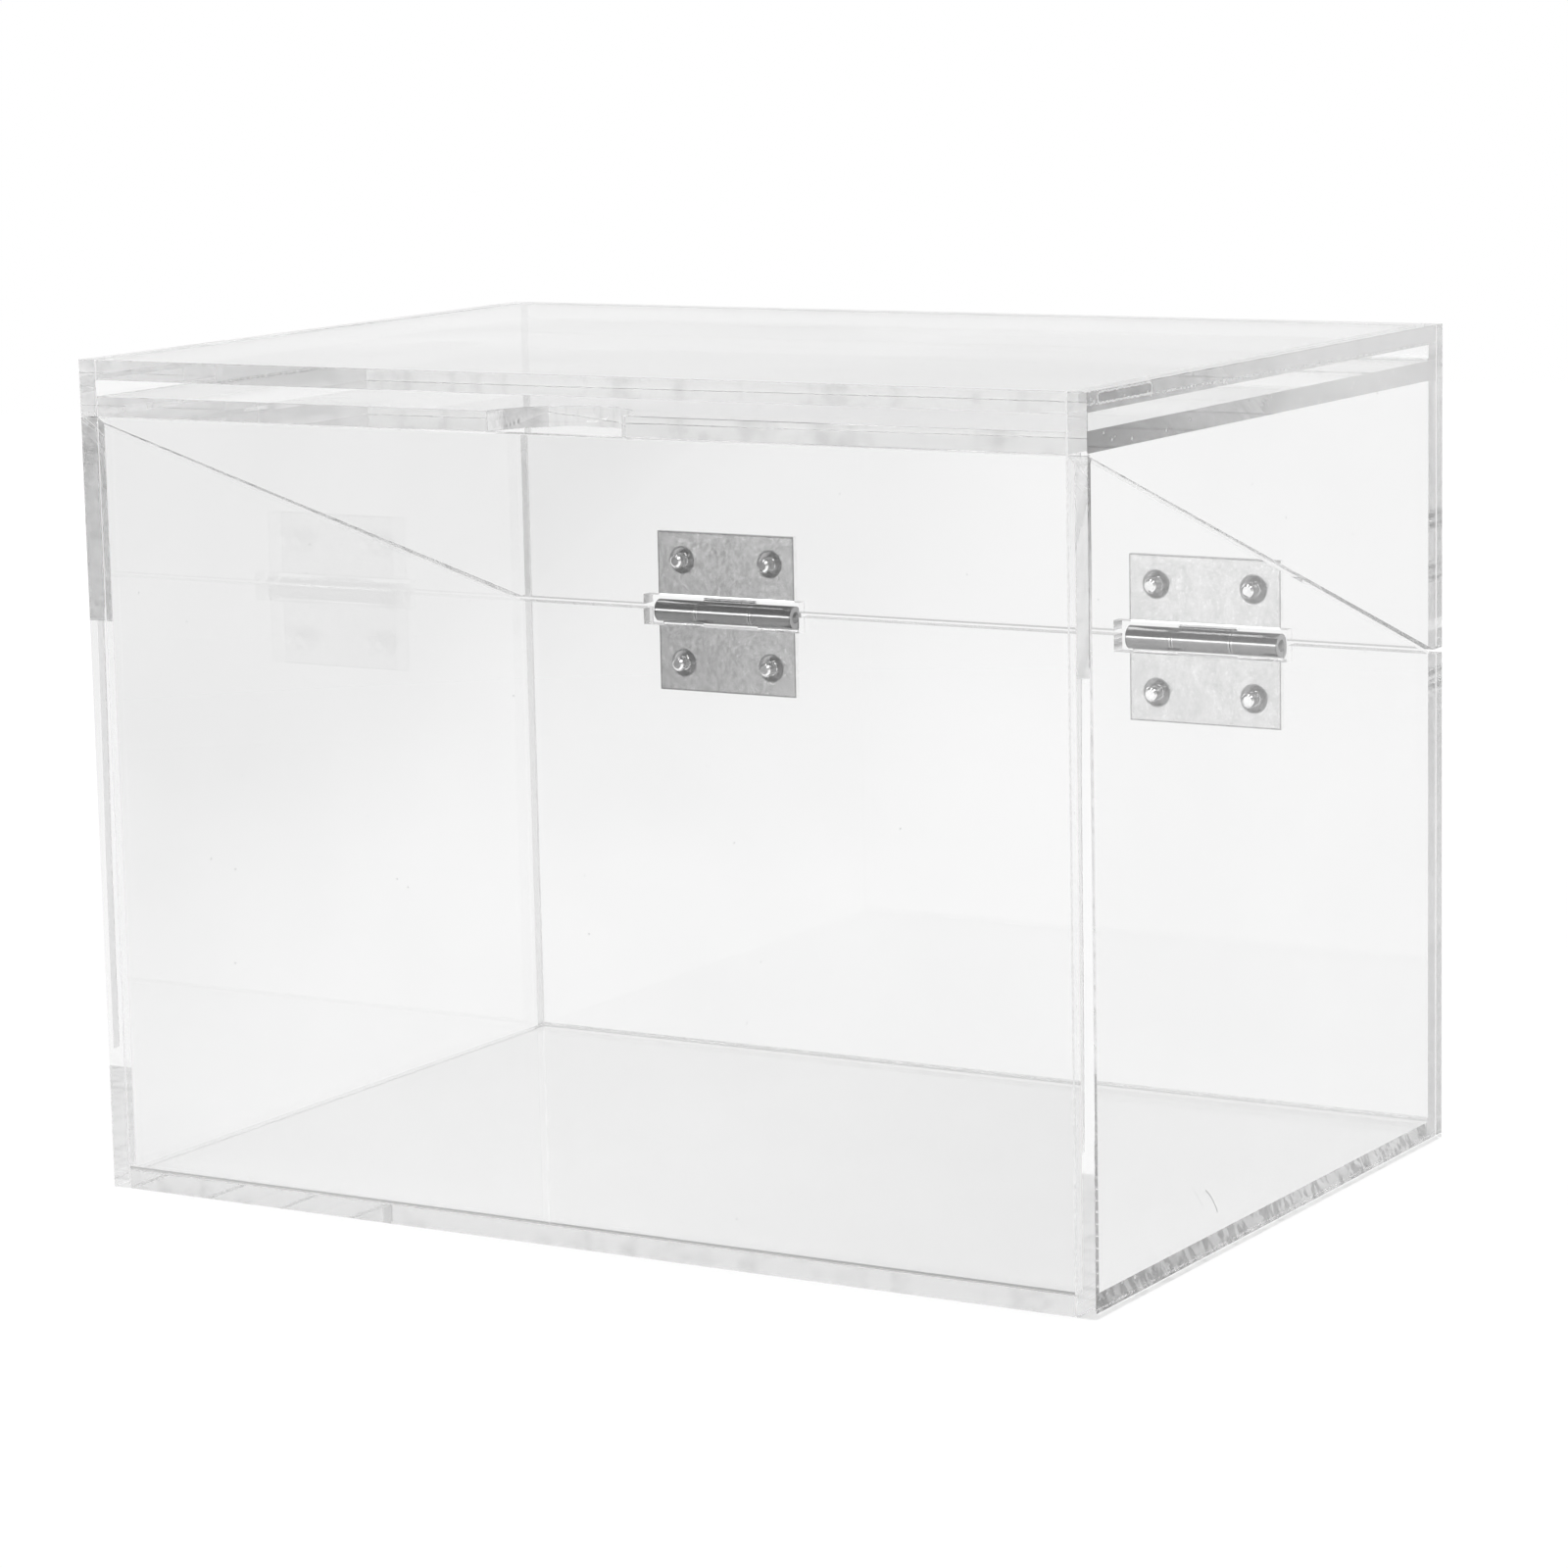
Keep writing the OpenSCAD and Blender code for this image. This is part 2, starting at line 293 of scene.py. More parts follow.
class Tree:
    """Adds nodes to a material or world and links them in one call."""

    def __init__(self, owner):
        owner.use_nodes = True
        self.tree = owner.node_tree
        self.tree.nodes.clear()

    def add(self, kind, links=None, **settings):
        node = self.tree.nodes.new(kind)
        for name, value in settings.items():
            setattr(node, name, value)
        for socket, value in (links or {}).items():
            if isinstance(value, bpy.types.NodeSocket):
                self.tree.links.new(value, node.inputs[socket])
            else:
                node.inputs[socket].default_value = value
        return node

    def bsdf(self, kind, links):
        return self.add(f"ShaderNodeBsdf{kind}", links).outputs[0]

    def math(self, operation, a, b=0.0, clamp=False):
        node = self.add("ShaderNodeMath", {0: a, 1: b}, operation=operation, use_clamp=clamp)
        return node.outputs[0]

    def times(self, value, *others):
        for other in others:
            value = self.math("MULTIPLY", value, other)
        return value

    def less(self, value):
        """1 minus the value."""
        return self.math("SUBTRACT", 1.0, value)

    def gap(self, a, b):
        """How far apart two values are."""
        return self.math("ABSOLUTE", self.math("SUBTRACT", a, b))

    def length(self, a, b):
        """The length of the flat vector (a, b)."""
        return self.math("SQRT", self.math("ADD", self.times(a, a), self.times(b, b)))

    def ramp(self, value, low, high, to_low=0.0, to_high=1.0, smooth=False):
        kind = "SMOOTHSTEP" if smooth else "LINEAR"
        links = {0: value, 1: low, 2: high, 3: to_low, 4: to_high}
        return self.add("ShaderNodeMapRange", links, interpolation_type=kind).outputs[0]

    def spread(self, noise, low, high):
        """The noise, whose values lie around 0.3 to 0.7, spread from low to high."""
        return self.ramp(noise, 0.3, 0.7, low, high)

    def shaded(self, level, mask, share):
        """The level, times share where the mask is 1 and as it was where the mask is 0."""
        return self.times(level, self.ramp(mask, 0.0, 1.0, 1.0, share))

    def scaled(self, vector, scale):
        return self.add("ShaderNodeMapping", {"Vector": vector, "Scale": scale}).outputs[0]

    def tilted(self, vector, angle):
        """The vector turned about X."""
        links = {"Vector": vector, "Rotation": (angle, 0.0, 0.0)}
        return self.add("ShaderNodeMapping", links).outputs[0]

    def noise(self, vector, scale, detail=2.0, roughness=0.5):
        links = {"Vector": vector, "Scale": scale, "Detail": detail, "Roughness": roughness}
        return self.add("ShaderNodeTexNoise", links).outputs[0]

    def cells(self, vector, scale):
        """The distance from the nearest of many scattered points, in steps of 1 / scale."""
        node = self.add("ShaderNodeTexVoronoi", {"Vector": vector, "Scale": scale})
        return node.outputs["Distance"]

    def mix(self, factor, a, b):
        return self.add("ShaderNodeMixShader", {0: factor, 1: a, 2: b}).outputs[0]

    def grey(self, value):
        return self.add("ShaderNodeCombineColor", {0: value, 1: value, 2: value}).outputs[0]

    def bump(self, height, strength, distance):
        """The normal of a surface with this relief. The distance is in metres."""
        links = {"Height": height, "Strength": strength, "Distance": distance}
        return self.add("ShaderNodeBump", links).outputs[0]

    def xyz(self, vector):
        return self.add("ShaderNodeSeparateXYZ", {0: vector}).outputs

    def object_point(self):
        """The point in millimetres, in the part's own frame."""
        point = self.add("ShaderNodeTexCoord").outputs["Object"]
        return self.scaled(point, (1000.0, 1000.0, 1000.0))

    def object_normal(self):
        return self.xyz(self.add("ShaderNodeTexCoord").outputs["Normal"])

    def edge_on(self):
        """0 on what is seen head-on, 1 on what is seen edge-on."""
        return self.add("ShaderNodeLayerWeight", {"Blend": 0.5}).outputs["Facing"]

    def finish(self, surface, kind="ShaderNodeOutputMaterial"):
        self.add(kind, {"Surface": surface})


def new_material(name):
    """A material, its tree of nodes and the point that it is shaded at."""
    material = bpy.data.materials.new(name)
    t = Tree(material)
    return material, t, t.object_point()


# Acrylic


def lamp_ways(t):
    """1 for the rays that bring lamp light through the sheets without bending."""
    path = t.add("ShaderNodeLightPath").outputs
    blurred = t.math("SUBTRACT", path["Is Glossy Ray"], path["Is Singular Ray"], clamp=True)
    soft = t.math("MAXIMUM", path["Is Diffuse Ray"], blurred)
    return t.math("MAXIMUM", path["Is Shadow Ray"], soft)


def open_to_lamps(t, surface):
    """The surface, with a straight way through it for lamp light."""
    return t.mix(lamp_ways(t), surface, t.bsdf("Transparent", {"Color": CLEAR}))


def plastic(t, links):
    """Clear acrylic, with the links that differ."""
    sockets = {
        "Base Color": PLASTIC,
        "Roughness": 0.0,
        "IOR": ACRYLIC_IOR,
        "Transmission Weight": 1.0,
    }
    sockets.update(links)
    return t.bsdf("Principled", sockets)


def hair_mark(t, point):
    """1 along the fine curved scratch low on the outside of the right side."""
    x, y, z = t.xyz(point)
    across = t.math("SUBTRACT", y, HAIR_Y)
    above = t.math("SUBTRACT", z, HAIR_Z)
    off = t.gap(t.length(across, above), HAIR_RADIUS)
    line = t.ramp(off, HAIR_CORE, HAIR_RIM, 1.0, 0.0)
    start = t.math("GREATER_THAN", across, HAIR_RADIUS * math.cos(HAIR_TOP))
    end = t.math("GREATER_THAN", above, HAIR_RADIUS * math.sin(HAIR_FOOT))
    outside = t.math("GREATER_THAN", x, SIDE_FACE - AT_OUTSIDE)
    return t.times(line, start, end, outside)


def face_material():
    """The polished faces: nearly flat, with a slow ripple, a scratch and a few dust specks."""
    material, t, point = new_material("acrylic_face")
    level = t.spread(t.noise(point, 0.035, 3.0), *FACE_KEEPS)
    level = t.times(level, t.ramp(t.cells(point, 0.1), 0.014, 0.024, SPECK_KEEPS, 1.0))
    level = t.shaded(level, hair_mark(t, point), HAIR_SHADE)
    ripple = t.bump(t.noise(point, 0.02, 1.0), 0.05, 0.0005)
    t.finish(open_to_lamps(t, plastic(t, {"Base Color": t.grey(level), "Normal": ripple})))
    return material


def edge_material():
    """Polished edges, clear, with a faint waviness left by the polishing."""
    material, t, point = new_material("acrylic_edge")
    level = t.ramp(t.noise(point, 0.3, 2.0), 0.35, 0.65, *EDGE_KEEPS)
    wave = t.bump(t.noise(point, 0.05, 1.0), 0.01, 0.0002)
    t.finish(open_to_lamps(t, plastic(t, {"Base Color": t.grey(level), "Normal": wave})))
    return material


def saw_arcs(t, point):
    """1 along the thin arcs that the saw blade left."""
    x, y = t.xyz(point)[:2]
    slanted = t.math("ADD", y, t.times(x, SAW_SLANT))
    shifted = t.math("ADD", t.math("DIVIDE", slanted, SAW_STEP), t.noise(point, 0.06, 1.0))
    phase = t.gap(t.math("FRACT", shifted), 0.5)
    return t.ramp(phase, SAW_CORE, SAW_RIM, 1.0, 0.0)


def sawn_material(name, grey, share, arcs, speckle, glancing, passing):
    """A cut that the saw frosted and nobody polished, a little greyer on the sides' feet.

    share of the cut is frost, as bright as grey, broken by speckle. arcs is how plain the
    saw's arcs are. The frost shows where the cut is seen steeply, and from the angle glancing
    on, the sheet reflects. On the floor panel, passing is the share of the frost's light that
    comes through from behind.
    """
    material, t, point = new_material(name)
    cloud = t.noise(point, 0.25, 3.0)
    pale = t.math("MINIMUM", t.spread(cloud, 0.85 * grey, 1.15 * grey), 1.0)
    height = t.xyz(point)[2]
    lifted = t.ramp(height, *FOOT_BLEND)
    pale = t.grey(t.times(pale, t.ramp(lifted, 0.0, 1.0, FOOT_SHADE, 1.0)))
    behind = t.times(lifted, t.ramp(height, *FLOOR_END_BLEND, passing, 0.0))
    scattered = t.bsdf("Diffuse", {"Color": pale})
    frost = t.mix(behind, scattered, t.bsdf("Translucent", {"Color": pale}))
    steep = t.ramp(t.edge_on(), glancing, glancing + 0.05, 1.0, 0.1)
    grain = t.ramp(t.noise(point, 2.5, 2.0), 0.4, 0.6, 1.0 - speckle, 1.0)
    frosted = t.mix(t.times(steep, grain, share), plastic(t, {}), frost)
    # The saw's arcs are real marks; their white is painted light, for light that comes straight
    # through them
    white = t.bsdf("Diffuse", {"Color": ARC_WHITE})
    marked = t.mix(t.times(saw_arcs(t, point), arcs, steep), frosted, white)
    t.finish(open_to_lamps(t, marked))
    return material


def seam_material():
    """The white bead of glue in the groove along a joint."""
    material, t, point = new_material("acrylic_seam")
    lumps = t.spread(t.noise(point, 0.6, 3.0), 0.5, 0.95)
    white = t.bsdf("Diffuse", {"Color": SEAM_WHITE})
    t.finish(t.mix(lumps, plastic(t, {"Roughness": 0.1}), white))
    return material


def weld_material():
    """A sheet's face where another sheet is glued to it: the light passes straight through.

    Air left in the floor's joints turns the light back that runs along the sheet.
    """
    material, t, point = new_material("acrylic_weld")
    tint = t.grey(t.spread(t.noise(point, 0.2, 2.0), *WELD_KEEPS))
    through = t.bsdf("Transparent", {"Color": tint})
    mirror = t.bsdf("Glossy", {"Color": tint, "Roughness": 0.0})
    low = t.ramp(t.xyz(point)[2], FLOOR_LEVEL, FLOOR_LEVEL + FLOOR_BLEND, 1.0, 0.0)
    along = t.ramp(t.edge_on(), STEEP_END, ALONG_START)
    air = t.times(along, low, t.less(lamp_ways(t)))
    t.finish(t.mix(air, through, mirror))
    return material


def glue_void(t, y, z):
    """The distance from the rim of the air pocket in the top panel's right joint."""
    along = t.math("SUBTRACT", t.gap(y, VOID_Y), VOID_LENGTH / 2 - VOID_ROUND)
    across = t.math("SUBTRACT", t.gap(z, VOID_Z), VOID_HEIGHT / 2 - VOID_ROUND)
    outside = t.length(t.math("MAXIMUM", along, 0.0), t.math("MAXIMUM", across, 0.0))
    return t.math("SUBTRACT", outside, VOID_ROUND)


def glue_film(t, point, right, upper, low):
    """How much light the film of glue lets through: strokes, and darker at the near right."""
    y, z = t.xyz(point)[1:]
    cloud = t.noise(t.scaled(point, (0.03, 0.06, 0.3)), 1.0, 4.0, 0.6)
    stroke = t.noise(t.scaled(t.tilted(point, 0.5), (0.1, 0.12, 1.2)), 1.0, 3.0, 0.6)
    film = t.times(t.spread(cloud, *CLOUD_KEEPS), t.spread(stroke, *STROKE_KEEPS))
    film = t.less(t.shaded(t.less(film), t.times(low, t.less(right)), 0.2))
    slash = t.noise(t.scaled(t.tilted(point, 0.9), (0.1, 0.22, 0.9)), 1.0, 2.0, 0.6)
    joint = t.times(low, right)
    lid = t.times(upper, right, t.ramp(z, SLOT_LEVEL, TOP_LEVEL, SHELF_DARK, TOP_DARK))
    depth = t.math("ADD", t.times(joint, FLOOR_DARK), lid)
    film = t.times(film, t.less(t.times(t.ramp(y, DARK_FRONT, DARK_BACK, 1.0, 0.1), depth)))
    slashes = t.times(t.ramp(slash, 0.48, 0.56, 0.0, SLASH_DARK), joint)
    return t.times(film, t.less(slashes))


def glue_fog(t, x, y, z, upper):
    """How white the glue is: in the lid's outer joints toward the back, and at the back."""
    inward = t.ramp(y, HAZE_FRONT, HAZE_BACK)
    sheet = t.ramp(z, SLOT_LEVEL, TOP_LEVEL, SHELF_HAZE, TOP_HAZE)
    outer = t.ramp(t.math("ABSOLUTE", x), *OUTER_BLEND)
    behind = t.times(t.ramp(y, *BEHIND_BLEND, 0.0, BACK_HAZE), t.less(upper))
    return t.math("MAXIMUM", t.times(inward, sheet, upper, outer), behind)


def dashed_line(t, point, height, slope):
    """1 along a wandering, broken line at the height, which changes by slope along Y."""
    y, z = t.xyz(point)[1:]
    level = t.math("ADD", t.times(y, slope), height)
    wander = t.ramp(t.noise(point, 0.8, 2.0), 0.0, 1.0, -0.15, 0.15)
    off = t.gap(t.math("ADD", z, wander), level)
    dash = t.ramp(t.noise(t.scaled(point, (0.1, 1.1, 0.1)), 1.0, 1.0), 0.44, 0.5, 0.1, 1.0)
    return t.times(t.ramp(off, LINE_CORE, LINE_RIM, 1.0, 0.0), dash)


def glue_material():
    """The glued end of a sheet: a grey film with strokes, bubbles and an air pocket."""
    material, t, point = new_material("acrylic_glue")
    x, y, z = t.xyz(point)
    right = t.ramp(x, *RIGHT_BLEND)
    upper = t.ramp(z, LID_LEVEL, LID_LEVEL + LID_BLEND)
    low = t.ramp(z, FLOOR_LEVEL - FLOOR_BLEND, FLOOR_LEVEL + FLOOR_BLEND, 1.0, 0.0)
    steep = t.ramp(t.edge_on(), STEEP_END, ALONG_START, 1.0, 0.15)
    film = t.less(t.times(t.less(glue_film(t, point, right, upper, low)), steep))
    ragged = t.ramp(t.noise(point, 1.2, 2.0), 0.0, 1.0, -0.2, 0.2)
    rim = t.math("ADD", glue_void(t, y, z), ragged)
    hollow = t.times(t.ramp(rim, -0.1, 0.0, 1.0, 0.0), right)
    film = t.shaded(film, hollow, VOID_KEEPS)
    through = t.bsdf("Transparent", {"Color": t.grey(film)})
    white = t.bsdf("Diffuse", {"Color": GLUE_WHITE})
    fogged = t.mix(glue_fog(t, x, y, z, upper), through, white)
    bubble = t.ramp(t.cells(point, 0.5), LINE_CORE, LINE_RIM, 0.8, 0.0)
    bubble = t.times(bubble, t.ramp(y, *BUBBLE_BLEND, 1.0, 0.1))
    mark = t.times(bubble, t.ramp(right, 0.0, 1.0, 0.2, 1.0))
    outline = t.ramp(t.math("ABSOLUTE", rim), LINE_CORE, LINE_RIM, 1.0, 0.0)
    mark = t.math("MAXIMUM", mark, t.times(outline, right, upper))
    for height, slope in DASHED_LINES:
        line = t.times(dashed_line(t, point, height, slope), right)
        mark = t.math("MAXIMUM", mark, line)
    t.finish(t.mix(t.times(mark, steep), fogged, white))
    return material


# Sheets


def other_axes(axis):
    return [k for k in range(3) if k != axis]


def boxes_meet(a, b):
    """(axis, side, plane) where box a stands against box b, or None."""
    for axis in range(3):
        overlap = min(min(a[1][k], b[1][k]) - max(a[0][k], b[0][k]) for k in other_axes(axis))
        if overlap < LEAST_OVERLAP * MM:
            continue
        if abs(a[1][axis] - b[0][axis]) < TOUCH * MM:
            return axis, 1, a[1][axis]
        if abs(a[0][axis] - b[1][axis]) < TOUCH * MM:
            return axis, -1, a[0][axis]
    return None


def thin_axis(node):
    """The axis across the sheet. The spacer is lower than thick, and stands on its edge."""
    if node == "slot_spacer":
        return 1
    low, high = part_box(node)
    return min(range(3), key=lambda k: high[k] - low[k])


def cleaned(node):
    """The CAD solid as a bmesh, with its coplanar triangles joined."""
    bm = bmesh.new()
    bm.from_mesh(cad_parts[node].data)
    bmesh.ops.remove_doubles(bm, verts=bm.verts, dist=MERGE_DISTANCE)
    bmesh.ops.dissolve_limit(bm, angle_limit=FLAT_ANGLE, verts=bm.verts, edges=bm.edges)
    bmesh.ops.recalc_face_normals(bm, faces=bm.faces)
    return bm


def seat(bm, axis, side, plane, depth):
    """Draws the end of a sheet back from the sheet it stands against, by the glue film."""
    for vert in bm.verts:
        if abs(vert.co[axis] - plane) < SAME_PLANE * MM:
            vert.co[axis] -= side * depth


def sharp_edges(bm):
    """The solid's outward edges that are sharp."""
    for edge in bm.edges:
        if len(edge.link_faces) == 2 and edge.is_convex and edge.calc_face_angle() > SHARP_ANGLE:
            yield edge


def on_plane(edge, axis, plane, room):
    """True for an edge in the plane, give or take room."""
    return all(abs(vert.co[axis] - plane) < room for vert in edge.verts)


def on_outside(edge):
    """True for an edge that lies in one of the outer faces of the whole box."""
    for axis in range(3):
        for corner in cad_box:
            if on_plane(edge, axis, corner[axis], TOUCH * MM):
                return True
    return on_plane(edge, 1, BACK_FACE * MM, TOUCH * MM)


def bevel(bm, edges, width):
    """Bevels the edges and returns the new faces."""
    done = bmesh.ops.bevel(
        bm, geom=edges, offset=width, offset_type="OFFSET", segments=1, profile=0.5,
        affect="EDGES", clamp_overlap=False,
    )
    return done["faces"]


def chamfer(node, bm, ends):
    """Chamfers the free edges, and cuts a groove for the glue where a joint meets the outside.

    ends lists (axis, plane) of the glued ends, whose other edges stay sharp. So do the edges
    of the faces that stayed as sawn.
    """
    def glued(edge):
        return any(on_plane(edge, axis, plane, SAME_PLANE * MM) for axis, plane in ends)

    joints = [edge for edge in sharp_edges(bm) if glued(edge) and on_outside(edge)]
    kept = set(bevel(bm, joints, SEAM * MM))
    kept.update(face for face in bm.faces if is_raw(node, face) or is_cut(node, face))
    free = [e for e in sharp_edges(bm) if not glued(e) and not kept.intersection(e.link_faces)]
    bevel(bm, free, CHAMFER * MM)


def split(bm, axis, plane):
    """Cuts the faces along a plane, so that each piece gets its own material."""
    normal = Vector((0, 0, 0))
    normal[axis] = 1
    geometry = bm.verts[:] + bm.edges[:] + bm.faces[:]
    bmesh.ops.bisect_plane(
        bm, geom=geometry, dist=SPLIT_DISTANCE, plane_co=normal * plane, plane_no=normal,
    )


def contact_area(box, axis):
    """The part of a box's end that is glued: all of it but the grooves on the outside."""
    low, high = box[0].copy(), box[1].copy()
    for k in other_axes(axis):
        ends = (cad_box[0][k], cad_box[1][k]) if k != 1 else (-BACK_FACE * MM, BACK_FACE * MM)
        if abs(low[k] - ends[0]) < TOUCH * MM:
            low[k] += SEAM * MM
        if abs(high[k] - ends[1]) < TOUCH * MM:
            high[k] -= SEAM * MM
    return low, high


def inside(point, box, axis):
    """True for a point of a box's end, which may lie a little off its plane."""
    for k in range(3):
        room = (END_ROOM if k == axis else RIM_ROOM) * MM
        if not box[0][k] - room <= point[k] <= box[1][k] + room:
            return False
    return True


def is_slanted(face):
    """True for the slanted cut of a side panel."""
    return abs(face.normal.x) < 1 - ALIGNED and SLANT_LOW < abs(face.normal.y) < SLANT_HIGH


def is_raw(node, face):
    """True for the unpolished ends: the backs of level sheets and lid side, the sides' feet."""
    centre = face.calc_center_median()
    if node in ("floor_panel", "top_panel", "card_shelf", "lid_left_panel"):
        return face.normal.y > ALIGNED and centre.y > (BACK_FACE - AT_OUTSIDE) * MM
    if node in ("base_left_panel", "base_right_panel"):
        return face.normal.z < -ALIGNED and centre.z < AT_OUTSIDE * MM
    return False


def is_cut(node, face):
    """True for the faces that the saw left when it cut the lid off the base."""
    if node.endswith(("left_panel", "right_panel")):
        return is_slanted(face)
    if node.endswith("back_panel"):
        height = face.calc_center_median().z
        return abs(face.normal.z) > ALIGNED and CUT_LOW * MM < height < CUT_HIGH * MM
    return False


def face_kind(node, face, thin, contacts, ends):
    """Which material a face of a sheet has."""
    centre = face.calc_center_median()
    for box, axis, side, plane in contacts:
        in_plane = abs(centre[axis] - plane) < AT_JOINT * MM
        if in_plane and face.normal[axis] * side > ALIGNED and inside(centre, box, axis):
            return WELD if axis == thin else GLUE
    if is_raw(node, face):
        return RAW
    if is_cut(node, face):
        return SAWN_LEFT if node == "base_left_panel" else SAWN
    if max(abs(c) for c in face.normal) < TILTED:
        if any(abs(centre[axis] - plane) < SEAM_SHARE * SEAM * MM for axis, plane in ends):
            return SEAM_FILL
    return FACE if abs(face.normal[thin]) > ALIGNED else EDGE


def find_contacts(node, body, thin):
    """(box, axis, side, plane) of the places where this body's other sheets are glued on."""
    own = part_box(node)
    contacts = []
    for other in SHEETS[body]:
        meet = other != node and boxes_meet(own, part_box(other))
        if meet:
            axis, side, plane = meet
            area = contact_area(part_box(other), axis) if axis == thin else own
            contacts.append((area, axis, side, plane))
    return contacts


def make_sheet(node, body, materials):
    """Puts a sheet with chamfers, grooves and materials in the place of its CAD solid."""
    thin = thin_axis(node)
    bm = cleaned(node)
    contacts = find_contacts(node, body, thin)
    ends = []
    for box, axis, side, plane in contacts:
        if axis != thin:
            seat(bm, axis, side, plane, GLUE_FILM * MM)
            ends.append((axis, plane - side * GLUE_FILM * MM))
    chamfer(node, bm, ends)
    for box, axis, side, plane in contacts:
        if axis == thin:
            for k in other_axes(axis):
                split(bm, k, box[0][k])
                split(bm, k, box[1][k])
    if node in ("base_back_panel", "lid_back_panel"):
        # Keeps the back face clear of the hinge leaves that lie on it
        seat(bm, 1, 1, BACK_FACE * MM, GLUE_FILM * MM)
    for face in bm.faces:
        face.material_index = face_kind(node, face, thin, contacts, ends)
    mesh = bpy.data.meshes.new(f"{node}_sheet")
    bm.to_mesh(mesh)
    bm.free()
    mesh.set_sharp_from_angle(angle=SHARP_ANGLE)
    for polygon in mesh.polygons:
        polygon.use_smooth = polygon.area < FLAT_AREA
    for material in materials:
        mesh.materials.append(material)
    sheet = bpy.data.objects.new(f"{node}_sheet", mesh)
    bpy.context.scene.collection.objects.link(sheet)
    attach(sheet, body)
    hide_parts(node)


# Steel


def rolled_barrel(t, y, z):
    """1 on the rolled knuckles of a leaf, 0 on its flat."""
    radius = t.length(t.math("SUBTRACT", y, PIN_Y), t.math("SUBTRACT", z, PIN_Z))
    return t.ramp(radius, BARREL_IN, BARREL_OUT, 1.0, 0.0)


def leaf_painted_shading(t, level, x, z, rolled):
    """The leaf's level with its painted shade and painted highlights.

    The barrel is painted dark, darker still underneath, with a painted highlight where the knuckles
    meet. The flanks get a painted highlight, and the countersinks, their rims and the outline get
    painted shade.
    """
    nx, ny, nz = t.object_normal()
    flat = t.less(rolled)
    aside = t.gap(t.math("ABSOLUTE", x), HINGE_X)
    above = t.gap(z, PIN_Z)
    side = t.math("ABSOLUTE", ny)
    # Painted highlight on the flanks, the faces along X
    flank = t.times(t.math("ABSOLUTE", nx), flat, FLANK_LIGHT)
    # Painted shade on the barrel, darker still underneath it
    level = t.shaded(t.math("ADD", level, flank), rolled, BARREL_SHADE)
    below = t.times(t.ramp(nz, *UNDER_NORMAL, 1.0, 0.0), rolled)
    level = t.shaded(level, below, BARREL_UNDER)
    # Painted highlight where two knuckles meet
    end_highlight = t.times(t.ramp(t.gap(aside, KNUCKLE_END), *END_HIGHLIGHT_BLEND, 1.0, 0.0), rolled)
    level = t.shaded(level, end_highlight, BARREL_END_HIGHLIGHT)
    # Painted shade in the countersinks' cones, and a painted dark ring at their rims
    cone = t.times(t.ramp(side, *CONE_START), t.ramp(side, *CONE_END, 1.0, 0.0), flat)
    level = t.shaded(level, cone, SINK_SHADE)
    to_screw = t.length(
        t.math("SUBTRACT", aside, SCREW_ASIDE), t.math("SUBTRACT", above, SCREW_RISE),
    )
    rim = t.gap(to_screw, SINK_RADIUS)
    level = t.times(level, t.ramp(rim, *SINK_BLEND, OUTLINE_SHADE, 1.0))
    # Painted shade along the leaf's outline
    over = t.math(
        "MAXIMUM", t.math("SUBTRACT", above, LEAF_REACH), t.math("SUBTRACT", aside, LEAF_WIDTH / 2),
    )
    return t.shaded(level, t.times(t.ramp(over, *OUTLINE_BLEND), side), OUTLINE_SHADE)


def steel(name, base, rough, grain, specks, part):
    """Steel with wear, and painted shade and highlights on leaves and screws. grain stretches the
    brushing, specks is how bright the pits are.
    """
    material, t, point = new_material(name)
    brushed = t.noise(t.scaled(point, grain), 1.0, 4.0, 0.65)
    cloud = t.noise(point, 0.35, 4.0, 0.6)
    pit = t.ramp(t.cells(point, 1.6), 0.16, 0.26, 1.0, 0.0)
    level = t.times(t.spread(cloud, 0.9, 1.06), base, t.spread(brushed, 0.92, 1.05))
    level = t.math("ADD", level, t.times(pit, specks))
    roughness = t.spread(brushed, rough - 0.03, rough + 0.04)
    if part == "leaf":
        x, y, z = t.xyz(point)
        rolled = rolled_barrel(t, y, z)
        roughness = t.shaded(roughness, rolled, 0.7)
        level = leaf_painted_shading(t, level, x, z, rolled)
    # Painted shade on the screws' sides, the faces that do not face along Y
    if part == "screws":
        side = t.math("ABSOLUTE", t.object_normal()[1])
        level = t.times(level, t.ramp(side, 0.2, 0.5, 0.5, 1.0))
    fine = t.math("ADD", brushed, t.times(pit, 0.3))
    t.finish(t.bsdf("Principled", {
        "Base Color": t.grey(level),
        "Metallic": 1.0,
        "Roughness": roughness,
        "Normal": t.bump(fine, 0.05, 0.0001),
    }))
    return material


def dress(nodes, material):
    """Gives the CAD solids of these nodes one material."""
    for node in nodes:
        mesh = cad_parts[node].data
        for index in range(len(mesh.materials)):
            mesh.materials[index] = material


# Stage


def paper_level(t, x, y, path):
    """How bright the paper glows: painted shade at the dark front left, painted light in front for
    reflections.
    """
    leaning = t.math("SUBTRACT", x, t.times(y, math.tan(DARK_AZIMUTH)))
    aside = t.ramp(leaning, *DARK_ASIDE, 1.0, 0.0, smooth=True)
    ahead = t.ramp(y, *DARK_AHEAD, 1.0, 0.0, smooth=True)
    dark = t.times(aside, ahead, t.less(path["Is Camera Ray"]))
    level = t.ramp(dark, 0.0, 1.0, 1.0, PAPER_DARK)
    front = t.times(path["Is Glossy Ray"], t.ramp(y, *SHINE_BLEND, SHINE_LIFT, 0.0))
    return t.math("ADD", level, t.times(front, level))


